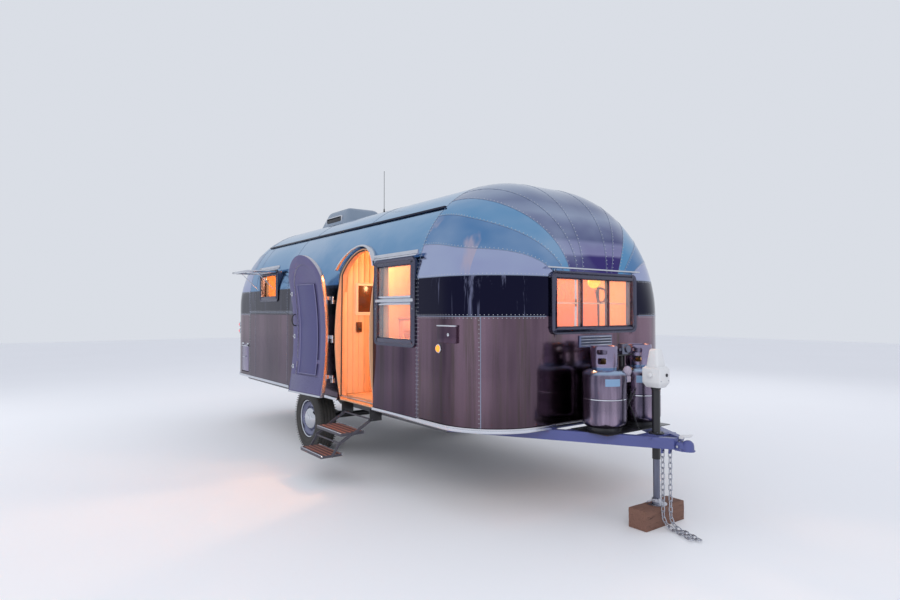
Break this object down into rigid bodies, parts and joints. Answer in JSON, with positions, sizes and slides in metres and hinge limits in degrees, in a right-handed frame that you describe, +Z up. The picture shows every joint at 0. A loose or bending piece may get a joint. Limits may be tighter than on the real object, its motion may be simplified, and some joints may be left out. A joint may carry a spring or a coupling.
{
  "type": "travel caravan",
  "caption": "Single-axle travel caravan with a rounded riveted aluminium body, arched side door standing open, folding steps, nose jack and twin gas cylinders on the tow frame",
  "frame": {"origin": "centre of the coupler's ball socket", "axes": "+X forward towards the towing vehicle, +Y to the caravan's left, +Z up"},
  "size_m": [6.7645, 2.735, 3.11],
  "materials": {
    "shell": "mirror polished sheet with riveted seams",
    "frame_paint": "silver blue paint",
    "black_steel": "black paint",
    "white_plastic": "moulded plastic",
    "zinc": "zinc plated",
    "cylinder_metal": "polished",
    "brass": "turned",
    "timber": "rough sawn",
    "lino": "sheet flooring",
    "underside": "dull sheet",
    "glass": "clear",
    "tyre": "black rubber",
    "chrome": "bright",
    "tread": "ribbed and oiled",
    "red_lens": "moulded lens",
    "amber_lens": "moulded lens",
    "dark_plastic": "weathered",
    "air_unit_paint": "pale grey",
    "panelling": "varnished",
    "cushion": "woven",
    "curtain": "woven"
  },
  "bodies": {
    "body": {"a_frame": "frame_paint", "aerial": "chrome", "air_unit": "air_unit_paint", "axle": "black_steel", "base_rail": "shell", "bed_base": "panelling", "belly_pan": "underside", "bumper": "shell", "coupler": "frame_paint", "coupler_lever": "white_plastic", "curtains": "curtain", "door_frame": "shell", "door_hood": "shell", "end_window_frames": "shell", "floor": "lino", "front_cap": "shell", "galley": "panelling", "gas_cylinders": "cylinder_metal", "gas_fittings": "brass", "gas_tray": "zinc", "jack_column": "black_steel", "jack_head": "white_plastic", "leaf_springs": "black_steel", "left_wall": "shell", "lounge_base": "panelling", "lounge_cushions": "cushion", "marker_lamps": "amber_lens", "mattress": "cushion", "nose_louvre": "shell", "partition": "panelling", "propped_sash": "shell", "rear_cap": "shell", "rear_locker": "underside", "right_wall": "shell", "roof": "shell", "roof_rails": "dark_plastic", "roof_vents": "dark_plastic", "safety_chains": "zinc", "sash_glass": "glass", "side_window_frames": "shell", "small_hatch": "shell", "step_brackets": "black_steel", "tail_lamps": "red_lens", "timber_block": "timber", "wall_hinges": "chrome", "wall_lockers": "panelling", "wheel_wells": "underside", "window_glass": "glass"},
    "wheel_left": {"tyre_left": "tyre", "wheel_left": "chrome"},
    "wheel_right": {"tyre_right": "tyre", "wheel_right": "chrome"},
    "door": {"door_leaf": "shell", "door_hinges": "chrome"},
    "jack_leg": {"jack_leg": "zinc"},
    "step_links": {"step_links": "zinc"},
    "step_upper": {"step_upper": "tread"},
    "step_lower_links": {"step_lower_links": "zinc"},
    "step_lower": {"step_lower": "tread"},
    "service_door": {"service_door": "shell"}
  },
  "joints": [
    {"name": "left_wheel_spin", "type": "hinge", "parent": "body", "child": "wheel_left", "pos_m": [-3.85, 1, -0.23], "axis": [0, 1, 0], "continuous": true},
    {"name": "right_wheel_spin", "type": "hinge", "parent": "body", "child": "wheel_right", "pos_m": [-3.85, -1, -0.23], "axis": [0, 1, 0], "continuous": true},
    {"name": "door_swing", "type": "hinge", "parent": "body", "child": "door", "pos_m": [-3.052, -1.189, 0.7], "axis": [0, 0, 1], "range_deg": [0, 174]},
    {"name": "jack_lift", "type": "slide", "parent": "body", "child": "jack_leg", "axis": [0, 0, 1], "range_m": [0, 0.23]},
    {"name": "step_fold", "type": "hinge", "parent": "body", "child": "step_links", "pos_m": [-2.69, -1.105, -0.036], "axis": [1, 0, 0], "range_deg": [0, 135]},
    {"name": "step_upper_level", "type": "hinge", "parent": "step_links", "child": "step_upper", "pos_m": [-2.69, -1.285, -0.145], "axis": [1, 0, 0], "range_deg": [-135, 0]},
    {"name": "step_knee", "type": "hinge", "parent": "step_upper", "child": "step_lower_links", "pos_m": [-2.69, -1.405, -0.216], "axis": [1, 0, 0], "range_deg": [0, 135]},
    {"name": "step_lower_level", "type": "hinge", "parent": "step_lower_links", "child": "step_lower", "pos_m": [-2.69, -1.47, -0.32], "axis": [1, 0, 0], "range_deg": [-135, 0]},
    {"name": "service_door_lift", "type": "hinge", "parent": "body", "child": "service_door", "pos_m": [-5.85, -1.148, 0.493], "axis": [-1, 0, 0], "range_deg": [0, 100]}
  ],
  "couplings": [
    {"joint": "step_upper_level", "follows": "step_fold", "ratio": -1},
    {"joint": "step_knee", "follows": "step_fold", "ratio": 1},
    {"joint": "step_lower_level", "follows": "step_fold", "ratio": -1}
  ]
}
